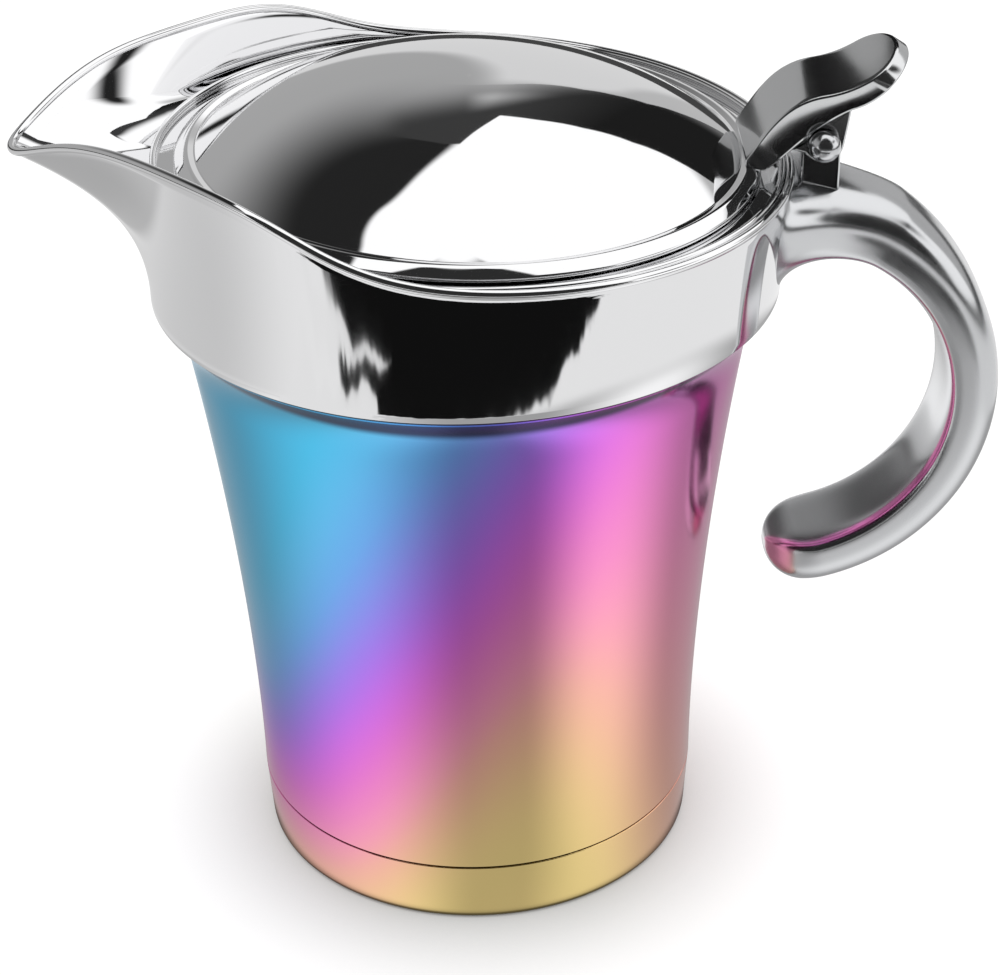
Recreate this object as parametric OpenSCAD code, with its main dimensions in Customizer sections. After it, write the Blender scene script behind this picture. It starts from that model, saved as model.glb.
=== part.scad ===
// Insulated gravy boat in stainless steel, with a hinged lid and an open loop handle.
// Millimetres. The centre of the base is at the origin and z points up.
// The spout points to -x, the handle and the lid hinge are on the +x side.

/* [Base and outer shell] */
// Outer radius of the base where it meets the table
base_r = 41.4; // [39:0.1:42]
// Radius of the rounded bottom edge
base_edge_r = 1.4; // [0.8:0.1:3]
// Height of the base cap, up to the seam
cap_h = 12.7; // [10:0.1:16]
// How much wider the cap is at the seam than at the table
cap_flare = 0.9; // [0.4:0.1:2]
// How far the long curve of the shell widens from the seam to the collar
shell_flare = 10.5; // [9:0.1:12]
// Extra width of the quick flare just under the collar
top_flare = 3.9; // [3:0.1:4.5]
// Height of that quick flare
top_flare_h = 12; // [8:0.5:18]
// Height of the top of the shell, where the collar starts
shell_top = 115.9; // [108:0.1:124]
// Sheet thickness of the cap, shell, liner, ring and tray
sheet = 0.8; // [0.6:0.05:1]
// Width of the fine groove at the seam
seam_gap = 0.3; // [0.2:0.05:0.5]

/* [Inner vessel] */
// Gap for insulation between the outer shell and the liner
insulation = 4.2; // [3:0.1:6]
// Height of the top of the liner's floor
floor_h = 8.8; // [7:0.1:14]
// Radius of the round corner between the liner's floor and wall
floor_fillet = 8; // [5:0.5:14]
// How far the liner's edge stays below the rim plane
liner_drop = 4.6; // [4.2:0.1:7]

/* [Collar and spout] */
// How far the collar stands out past the top of the shell
collar_step = 0.3; // [0.1:0.05:0.5]
// Height from the top of the shell to the rim plane at the middle of the mouth
collar_h = 23.7; // [22:0.1:27]
// Slope of the rim plane in degrees, higher at the spout
rim_tilt = 2; // [1:0.1:2.6]
// How far the middle of the mouth lies toward the handle
mouth_shift = 1; // [0.5:0.1:1.5]
// How much wider the middle of the rolled rim is than the foot of the collar
rim_flare = 0.1; // [0:0.1:1.5]
// Radius of the roll along the rim and the lip
rim_roll = 0.85; // [0.7:0.05:0.9]
// Wall thickness of the collar
collar_wall = 1; // [0.8:0.05:1.2]
// How far the spout reaches past the round wall
spout_reach = 23.6; // [21:0.2:26]
// Width of the spout, as the angle where it has died away to a third
spout_spread = 19.6; // [18:0.2:21]
// How much further out the raised side lips stand
side_flare = 2.1; // [1.5:0.1:2.7]
// Height of the side lips above the rim plane
lip_rise = 11; // [9:0.1:13]
// Angle from the spout where the side lips have come down by half
lip_spread = 64; // [58:1:68]
// Depth of the notch at the tip of the spout below the side lips
tip_dip = 8.8; // [7:0.1:10]
// Angle over which that notch opens
tip_spread = 12.5; // [11:0.5:14]

/* [Mouth ring and spout tray] */
// How far the middle of the ring's bead lies inside the middle of the rolled rim
ring_inset = 1.5; // [1.4:0.05:1.8]
// Radius of the ring's bead
ring_bead = 0.6; // [0.5:0.05:0.7]
// Depth of the lid's ledge below the middle of the bead
ledge_drop = 0.8; // [0.75:0.05:1]
// How far the lid's ledge reaches in under the lid's edge
ledge_lap = 1; // [0.6:0.1:1.4]
// Length of the ring's skirt
skirt_h = 8; // [6:0.5:10]
// Clearance between the foot of the skirt and the inside of the collar
skirt_gap = 0.4; // [0.35:0.05:0.6]
// How far the spout tray lies below the rim plane at the ring
tray_drop = 3; // [2:0.1:4]
// How much the tray climbs toward the tip of the spout
tray_rise = 1.5; // [0.5:0.1:2.5]
// Angle on each side of the spout where the tray ends
tray_spread = 66; // [60:1:70]

/* [Lid] */
// Distance from the lid's rolled edge to the middle of the ring's bead
lid_gap = 3.6; // [3.2:0.1:3.9]
// Radius of the lid's rolled edge
lid_bead = 0.6; // [0.5:0.05:0.7]
// Width of the lid's flange, from the foot of the dome to the edge
flange_w = 3.8; // [3.6:0.1:5]
// Height of the foot of the dome above the rim plane
dome_foot = 1.5; // [1.3:0.1:2]
// Height of the dome above its foot
dome_h = 13; // [10:0.5:16]
// How square the dome's profile is
dome_power = 2.6; // [2.2:0.1:3]
// Thickness of the lid's sheet
lid_sheet = 1; // [0.8:0.05:1]
// How far the flat underside disc ends inside the foot of the dome
pan_inset = 4.2; // [2.2:0.5:6.2]
// Depth of that disc below the rim plane
pan_drop = 3; // [2.5:0.1:4]

/* [Hinge] */
// Distance of the hinge axis outside the middle of the rolled rim
hinge_reach = 4.8; // [4.4:0.1:5.9]
// Height of the hinge axis above the rim plane's middle
hinge_rise = 4.1; // [3.8:0.1:5]
// Radius of the hinge pin
pin_r = 1.5; // [1.2:0.05:1.8]
// Radius of the ball heads on both ends of the pin
ball_r = 2.8; // [2.4:0.1:3.1]
// Half length of the hinge block across the boat
block_half = 6.9; // [6:0.1:7.5]
// Half thickness of the hinge block, and radius of its round top
block_r = 3.45; // [3.3:0.05:3.5]
// Height of the block's seat in the handle, below the rim plane's middle
seat_drop = 7.8; // [7.4:0.1:8.4]
// Gap at each side between the block and the lever's ears
ear_gap = 0.3; // [0.2:0.05:0.5]
// Thickness of each ear
ear_t = 2.3; // [1.8:0.1:2.6]
// Radius of the round bottom of the ears
ear_r = 3.7; // [3.5:0.05:3.9]
// Radial clearance of the pin in the ears
pin_clearance = 0.05; // [0.02:0.01:0.08]

/* [Thumb lever] */
// How far the lever's foot reaches from the axis toward the lid
foot_reach = 13.5; // [13:0.1:14]
// Depth of the foot's underside below the axis
foot_drop = 5; // [4.5:0.1:5.5]
// Height of the crest of the lever above the axis
lever_crest = 8.8; // [8:0.1:10]
// How far the tip reaches from the axis toward the handle
tip_reach = 15.5; // [13:0.5:17]
// Height of the tip above the axis
tip_rise = 15; // [13:0.5:17]
// Thickness of the lever at its tip
tip_t = 3; // [2.5:0.1:3.5]
// Length of the rounded end in plan
tip_round = 8; // [6:0.5:9]

/* [Handle] */
// How far the middle of the loop lies inside the middle of the rolled rim
loop_inset = 0.1; // [0:0.1:1]
// Height of the middle of the loop below the top of the shell
loop_drop = 23.4; // [22:0.1:25]
// Inner radius of the loop
loop_r = 31; // [29.5:0.5:32]
// Width of the handle
handle_w = 21; // [18:0.5:24]
// Thickness of the handle's edge
handle_edge = 7; // [6:0.5:8]
// Height of the crown above the handle's edge
handle_crown = 3; // [2:0.1:4]
// Extra height of the crown where the handle reaches the collar
root_crown = 3; // [2.5:0.1:3.2]
// How much of that crown is lost again right at the collar
root_dip = 0.8; // [0.4:0.1:1.2]
// Extra width on each side where the handle reaches the collar
root_flare = 9; // [6:0.5:11]
// Depth of the fillet under the root of the handle
root_fillet = 6.6; // [5:0.2:7]
// Angle of the free tip around the loop, below level
tip_angle = 92; // [80:1:96]

/* [Fit] */
// Gap between curved pieces that are joined at their edges
joint_gap = 0.3; // [0.25:0.05:0.35]
// Gap around the hinge block in its seat and under the lever's foot
seat_gap = 0.05; // [0.03:0.01:0.1]

/* [Part] */
// Piece to draw, or all of them

/* [Hidden] */
$fn = 96;
steel = [0.78, 0.79, 0.8];
coated = [0.55, 0.35, 0.75];
shell_steps = 26;
lip_power = 9;
spout_power = 2.35;
tray_steps = 48;
grip_points = 24;
root_end = 88;
seam_r = base_r + cap_flare;
collar_r = seam_r + shell_flare + top_flare + collar_step;
rim_r = collar_r + rim_flare;
rim_z = shell_top + collar_h;
ring_r = rim_r - ring_inset;
lid_r = ring_r - lid_gap;
ledge_r = lid_r - ledge_lap;
dome_r = lid_r - flange_w;
pan_r = dome_r - pan_inset;
hinge_x = mouth_shift + rim_r + hinge_reach;
loop_x = rim_r - loop_inset;
hinge_z = rim_z + hinge_rise;
seat_z = rim_z - seat_drop;
loop_z = shell_top - loop_drop;
neck_r = base_r - sheet - joint_gap;
neck_z = 2 * sheet;
ear_y = block_half + ear_gap;
ball_y = ear_y + ear_t + ear_gap + 1;
mid_r = loop_r + handle_edge / 2;

// Outer radius of the shell at height z, from the long curve and the quick flare at its top
function shell_r(z) = let (
    u = (z - cap_h) / (shell_top - cap_h),
    w = max(0, (z - shell_top + top_flare_h) / top_flare_h))
    seam_r + shell_flare * pow(max(0, u), 1.75) + top_flare * pow(w, 2.5);

// Outer radius of the round collar wall at height z, without the spout
function wall_r(z) = collar_r + (rim_r + collar_wall / 2 - collar_r) * (z - shell_top) / collar_h;

// Outer radius of the foot of the ring's skirt, a clearance inside the collar
skirt_r = wall_r(rim_z - skirt_h) - collar_wall - skirt_gap;

// Shift of the collar's middle at height z, toward the handle
function wall_x(z) = mouth_shift * (z - shell_top) / collar_h;

// Share of the side lip at angle a from the spout, 1 at the spout and 0 at the hinge
function lip_share(a) = 1 / (1 + pow(abs(a) / lip_spread, lip_power));

// Height of the top of the rolled edge at angle a from the spout
function lip_z(a) = rim_z + rim_roll / 2 + rim_r * tan(rim_tilt) * cos(a)
    + lip_rise * lip_share(a) - tip_dip * exp(-pow(a / tip_spread, 2));

// Share of the spout's reach at angle a from its middle, rounded over the middle few degrees
function spout_share(a) = exp((pow(9, 0.8) - pow(a * a + 9, 0.8)) / pow(spout_spread, 1.6));

// Outer radius of the collar and spout at angle a and height z
function skin_r(a, z) = let (t = max(0, (z - shell_top) / (lip_z(a) - shell_top)))
    wall_r(z) + spout_reach * spout_share(a) * pow(t, spout_power)
    + side_flare * lip_share(a) * t * t;

// Wall thickness measured along the radius, from the slopes of the skin in both directions
function skin_slope(a, z) = (skin_r(a, z + 0.1) - skin_r(a, z - 0.1)) / 0.2;
function skin_turn(a, z) = (skin_r(a + 0.5, z) - skin_r(a - 0.5, z)) * 180 / PI / skin_r(a, z);
function skin_t(a, z) = collar_wall * sqrt(1 + pow(skin_slope(a, z), 2) + pow(skin_turn(a, z), 2));

// Point at angle a from the spout, on the collar's middle at height z
function polar(a, r, z) = [wall_x(z) - r * cos(a), r * sin(a), z];

// Triangles of a closed tube of rings with n points, m rings, joined end to end
function ring_faces(m, n, last) = [
    for (i = [0 : last - 1]) for (j = [0 : n - 1])
        for (f = [[i * n + j, i * n + (j + 1) % n, ((i + 1) % m) * n + (j + 1) % n],
            [i * n + j, ((i + 1) % m) * n + (j + 1) % n, ((i + 1) % m) * n + j]]) f];

function mean(list) = [for (k = [0 : 2]) [for (p = list) p[k]] * [for (p = list) 1] / len(list)];

// Solid through a list of rings, closed at both ends by fans to the ring's middle
module tube(rings) {
    m = len(rings);
    n = len(rings[0]);
    points = concat([for (r = rings) for (p = r) p], [mean(rings[0]), mean(rings[m - 1])]);
    ends = [for (j = [0 : n - 1]) for (f = [[m * n, (j + 1) % n, j],
        [m * n + 1, (m - 1) * n + j, (m - 1) * n + (j + 1) % n]]) f];
    polyhedron(points, concat(ring_faces(m, n, m - 1), ends), convexity = 8);
}

// Places a piece of the mouth on the tilted rim plane
module on_rim() {
    translate([mouth_shift, 0, rim_z]) rotate([0, rim_tilt, 0]) children();
}

module base_cap() {
    corner = [for (k = [0 : 6]) [base_r - base_edge_r + base_edge_r * sin(k * 15),
        base_edge_r - base_edge_r * cos(k * 15)]];
    color(coated) rotate_extrude() polygon(concat(
        [[0, 0]], corner,
        [[seam_r, cap_h - seam_gap / 2], [seam_r - sheet, cap_h - seam_gap / 2],
        [base_r - sheet, base_edge_r], [base_r - base_edge_r, sheet], [0, sheet]]));
}

module bottom_disc() {
    color(steel) translate([0, 0, sheet])
        cylinder(r = base_r - base_edge_r - seat_gap, h = sheet);
}

module outer_shell() {
    heights = [for (k = [0 : shell_steps]) cap_h + seam_gap / 2
        + (shell_top - cap_h - seam_gap / 2) * k / shell_steps];
    color(coated) rotate_extrude() polygon(concat(
        [[neck_r - sheet, neck_z], [neck_r, neck_z], [neck_r, cap_h + seam_gap / 2]],
        [for (z = heights) [shell_r(z), z]],
        [for (k = [shell_steps : -1 : 1]) [shell_r(heights[k]) - sheet, heights[k]]],
        [[neck_r - sheet, cap_h + 2 * sheet]]));
}

// Outer radius of the liner, a fixed gap inside the shell, opening to the mouth ring's skirt
function liner_r(z) = let (
    top = skirt_r - 1.5 * sheet - joint_gap,
    low = shell_r(min(z, shell_top)) - sheet - insulation,
    w = min(1, max(0, (z - shell_top + top_flare_h) / (collar_h - skirt_h + top_flare_h))))
    low + (top - low) * w * w * (3 - 2 * w);

module liner() {
    top = rim_z - liner_drop;
    low = floor_h + floor_fillet;
    r = liner_r(low);
    corner = [for (k = [0 : 6]) [r - floor_fillet + floor_fillet * sin(k * 15),
        low - sheet - floor_fillet * cos(k * 15)]];
    inner = [for (k = [6 : -1 : 0]) [r - sheet - floor_fillet + floor_fillet * sin(k * 15),
        low - floor_fillet * cos(k * 15)]];
    heights = [for (k = [1 : shell_steps]) low + (top - low) * k / shell_steps];
    color(steel) translate([mouth_shift, 0, 0]) rotate_extrude() polygon(concat(
        [[0, floor_h - sheet]], corner,
        [for (z = heights) [liner_r(z), z]],
        [for (k = [shell_steps - 1 : -1 : 0]) [liner_r(heights[k]) - sheet, heights[k]]],
        inner, [[0, floor_h]]));
}

module seat_ring() {
    color(steel) on_rim() union() {
        rotate_extrude() translate([ring_r, 0]) circle(r = ring_bead);
        rotate_extrude() polygon([[ring_r - sheet / 2, 0], [ring_r - sheet / 2, -ledge_drop],
            [ledge_r, -ledge_drop], [ledge_r, -ledge_drop - sheet],
            [ring_r - sheet / 2, -ledge_drop - sheet], [skirt_r - sheet, -skirt_h],
            [skirt_r, -skirt_h], [ring_r + sheet / 2, 0]]);
    }
}

// Outline of the collar's wall at angle a: outer skin upward, rolled edge, inner skin down
function collar_ring(a) = let (
    zc = lip_z(a) - rim_roll,
    rc = skin_r(a, zc) - skin_t(a, zc) / 2,
    slope = atan(skin_slope(a, zc)),
    zs = [for (k = [0 : 8]) shell_top + (zc - 1.6 * rim_roll - shell_top) * pow(k / 8, 0.8)])
    concat(
        [for (z = zs) polar(a, skin_r(a, z), z)],
        [for (k = [0 : 8]) let (f = -60 + 37.5 * k - slope)
            polar(a, rc + rim_roll * cos(f), zc + rim_roll * sin(f))],
        [for (k = [8 : -1 : 0]) polar(a, skin_r(a, zs[k]) - skin_t(a, zs[k]), zs[k])]);

module collar() {
    rings = [for (i = [0 : 119]) let (a = 3 * i - 20 * sin(3 * i))
        [for (p = collar_ring(a > 180 ? 360 - a : a)) a > 180 ? [p[0], -p[1], p[2]] : p]];
    color(steel) polyhedron([for (r = rings) for (p = r) p], ring_faces(120, 27, 120),
        convexity = 8);
}

// Height of the top of the tray at angle a, with u running from the ring to the skin
function tray_z(a, u) = rim_z - tray_drop + ring_r * tan(rim_tilt) * cos(a)
    + tray_rise * u * u * exp(-pow(a / 40, 2));

// Outline of the tray at angle a: top side outward, underside back
function tray_ring(a) = let (start = ring_r + sheet / 2 + joint_gap) concat(
    [for (k = [0 : 5]) let (z = tray_z(a, k / 5),
        end = skin_r(abs(a), tray_z(a, 1)) - skin_t(abs(a), tray_z(a, 1)) - joint_gap)
        polar(a, start + (end - start) * k / 5, z)],
    [for (k = [5 : -1 : 0]) let (z = tray_z(a, k / 5) - sheet,
        end = skin_r(abs(a), tray_z(a, 1) - sheet) - skin_t(abs(a), tray_z(a, 1) - sheet)
            - joint_gap)
        polar(a, start + (end - start) * k / 5, z)]);

module spout_tray() {
    rings = [for (i = [0 : tray_steps]) tray_ring(tray_spread * (2 * i / tray_steps - 1))];
    strip = [for (k = [0 : 4]) for (f = [[k, 11 - k, k + 1], [k + 1, 11 - k, 10 - k]]) f];
    far = tray_steps * 12;
    color(steel) polyhedron([for (r = rings) for (p = r) p],
        concat(ring_faces(tray_steps + 1, 12, tray_steps), strip,
            [for (f = strip) [f[2] + far, f[1] + far, f[0] + far]]), convexity = 8);
}

// Half width, inner and outer offset from the middle line at angle a around the loop,
// with q growing from 0 to 1 toward the collar and e falling to 0 at the free tip
function root_q(a) = max(0, (a - 58) / 30);
function tip_e(a, length) = let (t = min(1, (a + tip_angle) * PI / 180 * mid_r / length))
    sqrt(max(0.0004, 1 - pow(1 - t, 2)));
function half_w(a) = (handle_w / 2 + root_flare * pow(root_q(a), 2.3)) * tip_e(a, handle_w / 2);
function under(a) = (handle_edge / 2 + root_fillet * pow(root_q(a), 2.4))
    * tip_e(a, handle_edge / 2);
function crown(a) = (handle_edge / 2 + handle_crown + root_crown
    * pow(max(0, min(1, (a - 20) / 54.5)), 1.6) - root_dip * root_q(a)) * tip_e(a, handle_edge / 2);

// Outer face of the collar, where the handle's root ends
function collar_x(y, z) = wall_x(z) + sqrt(pow(wall_r(z) + joint_gap, 2) - y * y);

// Point of the handle's section at angle a around the loop and angle b around the section,
// shrunk toward the middle line by k
function grip(a, b, k) = let (
    s = sin(b) < 0 ? 5 - 2.4 * root_q(a) : 3.2 - 0.6 * root_q(a),
    y = k * half_w(a) * sign(cos(b)) * pow(abs(cos(b)), 2 / s),
    o = k * (sin(b) < 0 ? -under(a) : crown(a)) * pow(abs(sin(b)), 2 / s),
    z = loop_z + (mid_r + o) * sin(a),
    w = pow(root_q(a), 2))
    [(loop_x + (mid_r + o) * cos(a)) * (1 - w) + collar_x(y, z) * w, y, z];

// Closed section of the handle at angle a, shrunk by k
function grip_ring(a, k) = [for (j = [0 : grip_points - 1]) grip(a, 360 * j / grip_points, k)];

module handle() {
    angles = concat([for (k = [0 : 5]) -tip_angle + 6 * pow(k / 5, 2) + 0.05],
        [for (k = [1 : 34]) 6 - tip_angle + (root_end - 6 + tip_angle) * k / 34]);
    rings = concat(
        [for (a = angles) grip_ring(a, 1)],
        [for (k = [0.75, 0.5, 0.25]) grip_ring(root_end, k)]);
    color(steel) difference() {
        tube(rings);
        translate([hinge_x - block_r - seat_gap, -block_half - seat_gap, seat_z])
            cube([2 * (block_r + seat_gap), 2 * (block_half + seat_gap), seat_drop]);
    }
}

module hinge_block() {
    color(steel) difference() {
        union() {
            translate([hinge_x - block_r, -block_half, seat_z])
                cube([2 * block_r, 2 * block_half, hinge_z - seat_z]);
            translate([hinge_x, 0, hinge_z]) rotate([90, 0, 0])
                cylinder(r = block_r, h = 2 * block_half, center = true);
        }
        translate([hinge_x, 0, hinge_z]) rotate([90, 0, 0])
            cylinder(r = pin_r + pin_clearance, h = 2 * block_half + 2, center = true);
    }
}

// Ball head cut flat on the side that faces the ear
module ball() {
    intersection() {
        translate([0, 0, ball_y]) sphere(r = ball_r);
        translate([0, 0, ear_y + ear_t + ear_gap]) cylinder(r = 2 * ball_r, h = 2 * ball_r);
    }
}

module hinge_pin() {
    color(steel) translate([hinge_x, 0, hinge_z]) rotate([90, 0, 0]) union() {
        translate([0, 0, -ball_y - 1]) cylinder(r = pin_r, h = 2 * ball_y + 1);
        ball();
    }
}

module pin_cap() {
    color(steel) translate([hinge_x, 0, hinge_z]) rotate([-90, 0, 0]) difference() {
        ball();
        cylinder(r = pin_r + pin_clearance, h = ball_y + 1);
    }
}

// Point at share t of a cubic curve with two end points and two pull points
function bend(p, t) = pow(1 - t, 3) * p[0] + 3 * pow(1 - t, 2) * t * p[1]
    + 3 * (1 - t) * t * t * p[2] + pow(t, 3) * p[3];
function bends(p, n) = [for (k = [0 : n]) bend(p, k / n)];

module thumb_lever() {
    half = ear_y + ear_t;
    top = concat(
        bends([[-foot_reach, -2.8], [-foot_reach + 3.4, 2], [-7.5, lever_crest - 1],
            [0, lever_crest]], 10),
        bends([[0, lever_crest], [5, lever_crest + 0.8], [7.5, tip_rise - 3.5],
            [tip_reach - 2.4, tip_rise]], 10));
    bottom = concat(
        bends([[tip_reach, tip_rise - tip_t / 2], [tip_reach - 4, tip_rise - tip_t - 1.5],
            [tip_reach - 6, 7.2], [5, 6]], 10),
        bends([[5, 6], [1, 4.4], [-3, 1.2], [-5.5, -1.2]], 8),
        [[-8.3, -3.8], [-10, -foot_drop], [-foot_reach, -foot_drop]]);
    side = tip_reach + 1 - tip_round;
    plan = concat([[-foot_reach - 1, -half]],
        [for (k = [0 : 16]) let (b = -90 + k * 11.25)
            [side + tip_round * pow(abs(cos(b)), 0.8),
            half * sign(sin(b)) * pow(abs(sin(b)), 0.8)]],
        [[-foot_reach - 1, half]]);
    color(steel) difference() {
        union() {
            translate([hinge_x, 0, hinge_z]) intersection() {
                rotate([90, 0, 0]) linear_extrude(2 * half, center = true)
                    polygon(concat(top, bottom));
                translate([0, 0, -foot_drop - 1]) linear_extrude(tip_rise + foot_drop + 2)
                    polygon(plan);
            }
            for (y = [-half, ear_y]) translate([hinge_x, y + ear_t, hinge_z])
                rotate([90, 0, 0]) ear();
        }
        translate([hinge_x, 0, hinge_z]) rotate([90, 0, 0]) {
            cylinder(r = pin_r + pin_clearance, h = 2 * half + 2, center = true);
            cylinder(r = block_r + ear_gap, h = 2 * ear_y, center = true);
        }
        on_rim() lid_envelope();
    }
}

module ear() {
    cylinder(r = ear_r, h = ear_t);
    linear_extrude(ear_t) polygon([[-5.4, -1.3], [-0.47 * ear_r, -0.88 * ear_r], [0, 0],
        [0.985 * ear_r, -0.17 * ear_r], [4.6, 6.1], [0, 5.4]]);
}

// Height of the dome's top side over the rim plane at radius r
function dome_z(r) = dome_foot + dome_h * (1 - pow(r / dome_r, dome_power));

// Top side of the lid from the middle out to the flange's outer slope, lifted by g
function lid_top(g) = concat(
    [for (k = [0 : 20]) let (r = dome_r * sin(90 * k / 20)) [r, dome_z(r) + g]],
    [[dome_r + 0.8, dome_foot + 0.2 + g], [dome_r + 1.6, dome_foot + 0.2 + g],
    [dome_r + 2.4, dome_foot - 0.1 + g]]);

// Everything under the lid's top side, which the lever's foot must clear
module lid_envelope() {
    rotate_extrude() polygon(concat(lid_top(seat_gap),
        [[lid_r - lid_bead, lid_bead + seat_gap], [lid_r + seat_gap, lid_bead / 2],
        [lid_r + seat_gap, 0], [lid_r + seat_gap, -9], [0, -9]]));
}

module lid_dome() {
    inner = [for (k = [20 : -1 : 0]) let (r = (dome_r - 0.6) * sin(90 * k / 20))
        [r, dome_z(r * dome_r / (dome_r - 0.6)) - lid_sheet]];
    color(steel) on_rim() union() {
        rotate_extrude() polygon(concat(lid_top(0),
            [[lid_r - 0.9 * lid_bead, 0.6 * lid_bead], [lid_r - lid_bead, -0.3 * lid_bead],
            [lid_r - lid_bead - 0.8, dome_foot + 0.1 - lid_sheet]],
            inner));
        rotate_extrude() translate([lid_r - lid_bead, 0]) circle(r = lid_bead);
    }
}

module lid_pan() {
    seat = dome_foot + 0.1 - lid_sheet - 0.3;
    color(steel) on_rim() rotate_extrude() polygon([[0, -pan_drop], [pan_r, -pan_drop],
        [dome_r + 0.6, seat - sheet], [dome_r + 2, seat - sheet], [dome_r + 2, seat],
        [dome_r, seat], [pan_r - 0.6, sheet - pan_drop], [0, sheet - pan_drop]]);
}

base_cap();
bottom_disc();
outer_shell();
liner();
seat_ring();
collar();
spout_tray();
handle();
hinge_block();
hinge_pin();
pin_cap();
thumb_lever();
lid_dome();
lid_pan();
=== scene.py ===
import math
import bpy
import numpy as np
from mathutils import Matrix, Vector


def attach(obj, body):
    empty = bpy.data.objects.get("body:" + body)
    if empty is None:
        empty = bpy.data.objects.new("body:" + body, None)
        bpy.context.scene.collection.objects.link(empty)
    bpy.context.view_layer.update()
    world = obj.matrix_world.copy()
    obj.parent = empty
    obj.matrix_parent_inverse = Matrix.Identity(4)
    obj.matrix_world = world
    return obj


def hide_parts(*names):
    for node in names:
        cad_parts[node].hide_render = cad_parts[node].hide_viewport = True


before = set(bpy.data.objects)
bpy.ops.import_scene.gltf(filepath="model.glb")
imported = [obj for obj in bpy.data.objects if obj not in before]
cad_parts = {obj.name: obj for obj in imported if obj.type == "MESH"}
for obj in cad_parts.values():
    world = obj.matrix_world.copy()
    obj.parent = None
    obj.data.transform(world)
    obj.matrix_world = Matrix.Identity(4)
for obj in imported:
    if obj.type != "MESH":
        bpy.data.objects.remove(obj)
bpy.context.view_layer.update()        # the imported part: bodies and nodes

# Insulated gravy boat: dense smooth surfaces over the imported solids, in metres.
# Lengths in the dictionaries are millimetres, angles are degrees.
# The spout points to -x, the handle and the lid hinge are on the +x side.

mm = 0.001
body = {"baseR": 41.4, "edgeR": 1.4, "capTop": 12.55, "shellFoot": 12.85, "seamR": 42.3, "capH": 12.7,
        "flare": 10.5, "topFlare": 3.9, "topFlareH": 12.0, "top": 115.9, "sheet": 0.8,
        "neckGap": 0.3, "neckFoot": 1.6,
        "brow": 0.35,        # rounding of the shell's top edge, which carries the painted shadow line under the collar
        "pole": 0.02}        # radius at which an open profile starts and ends
mouth = {"shift": 1.0, "rise": 23.7, "tilt": 2.0, "z": 139.6}
around = 288             # points round a turned piece
sharpAngle = math.radians(38)


# meshes from grids
def unit(v):
    return v / np.maximum(np.linalg.norm(v, axis=-1, keepdims=True), 1e-12)


def gridShell(points, wrapRows=False, capRows=False):
    # quads between neighbouring rows and columns of the grid, columns closed round,
    # rows closed round or ended by fans; turned over if the enclosed volume is negative
    rows, cols = points.shape[:2]
    i, j = np.meshgrid(np.arange(rows if wrapRows else rows - 1), np.arange(cols), indexing="ij")
    iNext, jNext = (i + 1) % rows, (j + 1) % cols
    quads = np.stack([i * cols + j, iNext * cols + j, iNext * cols + jNext, i * cols + jNext], -1)
    quads = quads.reshape(-1, 4)
    verts = points.reshape(-1, 3)
    tris = np.zeros((0, 3), int)
    if capRows:
        n, last = rows * cols, (rows - 1) * cols
        verts = np.vstack([verts, points[0].mean(0), points[-1].mean(0)])
        j = np.arange(cols)
        k = (j + 1) % cols
        tris = np.vstack([np.stack([j, k, np.full(cols, n)], -1),
                          np.stack([last + k, last + j, np.full(cols, n + 1)], -1)])
    split = np.vstack([quads[:, [0, 1, 2]], quads[:, [0, 2, 3]], tris])
    a, b, c = (verts[split[:, k]] for k in range(3))
    if np.einsum("ij,ij->", a, np.cross(b, c)) < 0:
        quads, tris = quads[:, ::-1], tris[:, ::-1]
    return verts, quads, tris


def addPiece(name, shells, bodyName, nodes, material, sharp=sharpAngle):
    # one mesh from several closed shells, given in millimetres
    verts, quads, tris, start = [], [], [], 0
    for v, q, t in shells:
        verts.append(v)
        quads.append(q + start)
        tris.append(t + start)
        start += len(v)
    verts, quads, tris = np.vstack(verts), np.vstack(quads), np.vstack(tris)
    mesh = bpy.data.meshes.new(name)
    mesh.vertices.add(len(verts))
    mesh.vertices.foreach_set("co", (verts * mm).astype(np.float32).ravel())
    corners = np.concatenate([quads.ravel(), tris.ravel()])
    mesh.loops.add(len(corners))
    mesh.loops.foreach_set("vertex_index", corners.astype(np.int32))
    mesh.polygons.add(len(quads) + len(tris))
    starts = np.concatenate([np.arange(len(quads)) * 4, len(quads) * 4 + np.arange(len(tris)) * 3])
    mesh.polygons.foreach_set("loop_start", starts.astype(np.int32))
    mesh.update(calc_edges=True)
    mesh.polygons.foreach_set("use_smooth", np.ones(len(mesh.polygons), bool))
    mesh.set_sharp_from_angle(angle=sharp)
    mesh.materials.append(material)
    piece = bpy.data.objects.new(name, mesh)
    bpy.context.scene.collection.objects.link(piece)
    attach(piece, bodyName)
    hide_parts(*nodes)
    print(name, len(quads) * 2 + len(tris), "triangles")
    return piece


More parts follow.
